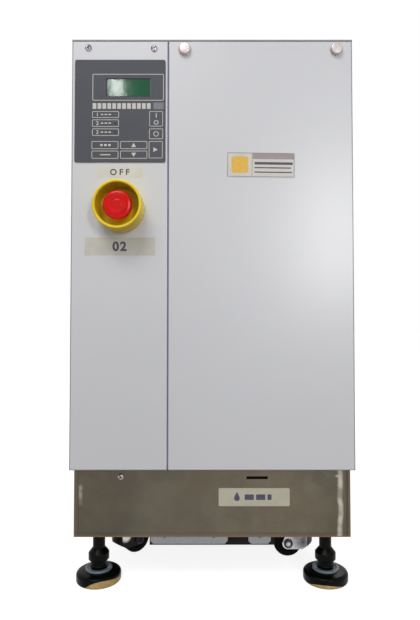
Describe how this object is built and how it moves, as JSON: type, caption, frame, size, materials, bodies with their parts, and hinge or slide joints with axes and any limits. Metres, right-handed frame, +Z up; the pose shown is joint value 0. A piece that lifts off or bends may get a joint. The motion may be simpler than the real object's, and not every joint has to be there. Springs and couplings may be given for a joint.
{
  "type": "recirculating chiller",
  "caption": "Floor-standing recirculating chiller: upright sheet cabinet with control panel and guarded emergency button, on a stainless base with levelling feet and casters.",
  "frame": {"origin": "centre of the object's box on the floor under the levelling feet", "axes": "+Z up, the front with the control panel faces -Y, +X to the right seen from the front"},
  "size_m": [0.388, 0.728, 0.761],
  "materials": {
    "panel_paint": "fine texture powder coat",
    "housing": "matt",
    "stainless": "brushed",
    "zinc": "zinc plated",
    "frame_paint": "satin",
    "foot_black": "satin",
    "tyre_black": "matt",
    "overlay": "printed film",
    "display": "glossy",
    "chrome": "polished",
    "guard_yellow": "gloss",
    "button_red": "gloss",
    "button_black": "matt",
    "brass_plated": "nickel plated",
    "black_plastic": "fine texture"
  },
  "bodies": {
    "chiller": {"machine_housing": "housing", "front_left_panel": "panel_paint", "front_right_panel": "panel_paint", "left_side_panel": "panel_paint", "right_side_panel": "panel_paint", "rear_panel": "panel_paint", "port_plate": "stainless", "top_cover": "panel_paint", "base_front_cover": "stainless", "base_left_skirt": "stainless", "base_right_skirt": "stainless", "base_rear_skirt": "stainless", "base_pan": "frame_paint", "left_rail": "frame_paint", "right_rail": "frame_paint", "front_cross_rail": "frame_paint", "cross_rail_plates": "zinc", "control_overlay": "overlay", "display_window": "display", "left_thumbscrew": "chrome", "right_thumbscrew": "chrome", "guard_ring": "guard_yellow", "button_collar": "button_black", "circulation_ports": "brass_plated", "facility_ports": "brass_plated", "drain_plug": "brass_plated", "power_inlet": "black_plastic", "signal_connectors": "zinc", "filler_cap": "black_plastic", "front_left_foot": "foot_black", "front_left_caster_plate": "zinc", "front_right_foot": "foot_black", "front_right_caster_plate": "zinc", "rear_left_foot": "foot_black", "rear_left_caster_plate": "zinc", "rear_left_caster_fork": "zinc", "rear_left_caster_wheel": "tyre_black", "rear_right_foot": "foot_black", "rear_right_caster_plate": "zinc", "rear_right_caster_fork": "zinc", "rear_right_caster_wheel": "tyre_black"},
    "emergency_button": {"button_stem": "button_red"},
    "emergency_button_head": {"button_head": "button_red"},
    "left_caster_swivel": {"front_left_caster_fork": "zinc"},
    "left_caster_wheel": {"front_left_caster_wheel": "tyre_black"},
    "right_caster_swivel": {"front_right_caster_fork": "zinc"},
    "right_caster_wheel": {"front_right_caster_wheel": "tyre_black"}
  },
  "joints": [
    {"name": "emergency_button_press", "type": "slide", "parent": "chiller", "child": "emergency_button", "axis": [0, 1, 0], "range_m": [0, 0.004]},
    {"name": "emergency_button_turn", "type": "hinge", "parent": "emergency_button", "child": "emergency_button_head", "pos_m": [-0.1225, -0.329, 0.5108], "axis": [0, 1, 0], "range_deg": [0, 45], "stiffness_Nm_per_rad": 0.05},
    {"name": "left_caster_swivel_turn", "type": "hinge", "parent": "chiller", "child": "left_caster_swivel", "pos_m": [-0.1375, -0.209, 0], "axis": [0, 0, 1], "continuous": true},
    {"name": "left_caster_wheel_roll", "type": "hinge", "parent": "left_caster_swivel", "child": "left_caster_wheel", "pos_m": [-0.12056, -0.19576, 0.024], "axis": [-0.6157, 0.788, 0], "continuous": true},
    {"name": "right_caster_swivel_turn", "type": "hinge", "parent": "chiller", "child": "right_caster_swivel", "pos_m": [0.1375, -0.209, 0], "axis": [0, 0, 1], "continuous": true},
    {"name": "right_caster_wheel_roll", "type": "hinge", "parent": "right_caster_swivel", "child": "right_caster_wheel", "pos_m": [0.116, -0.209, 0.024], "axis": [0, -1, 0], "continuous": true}
  ]
}
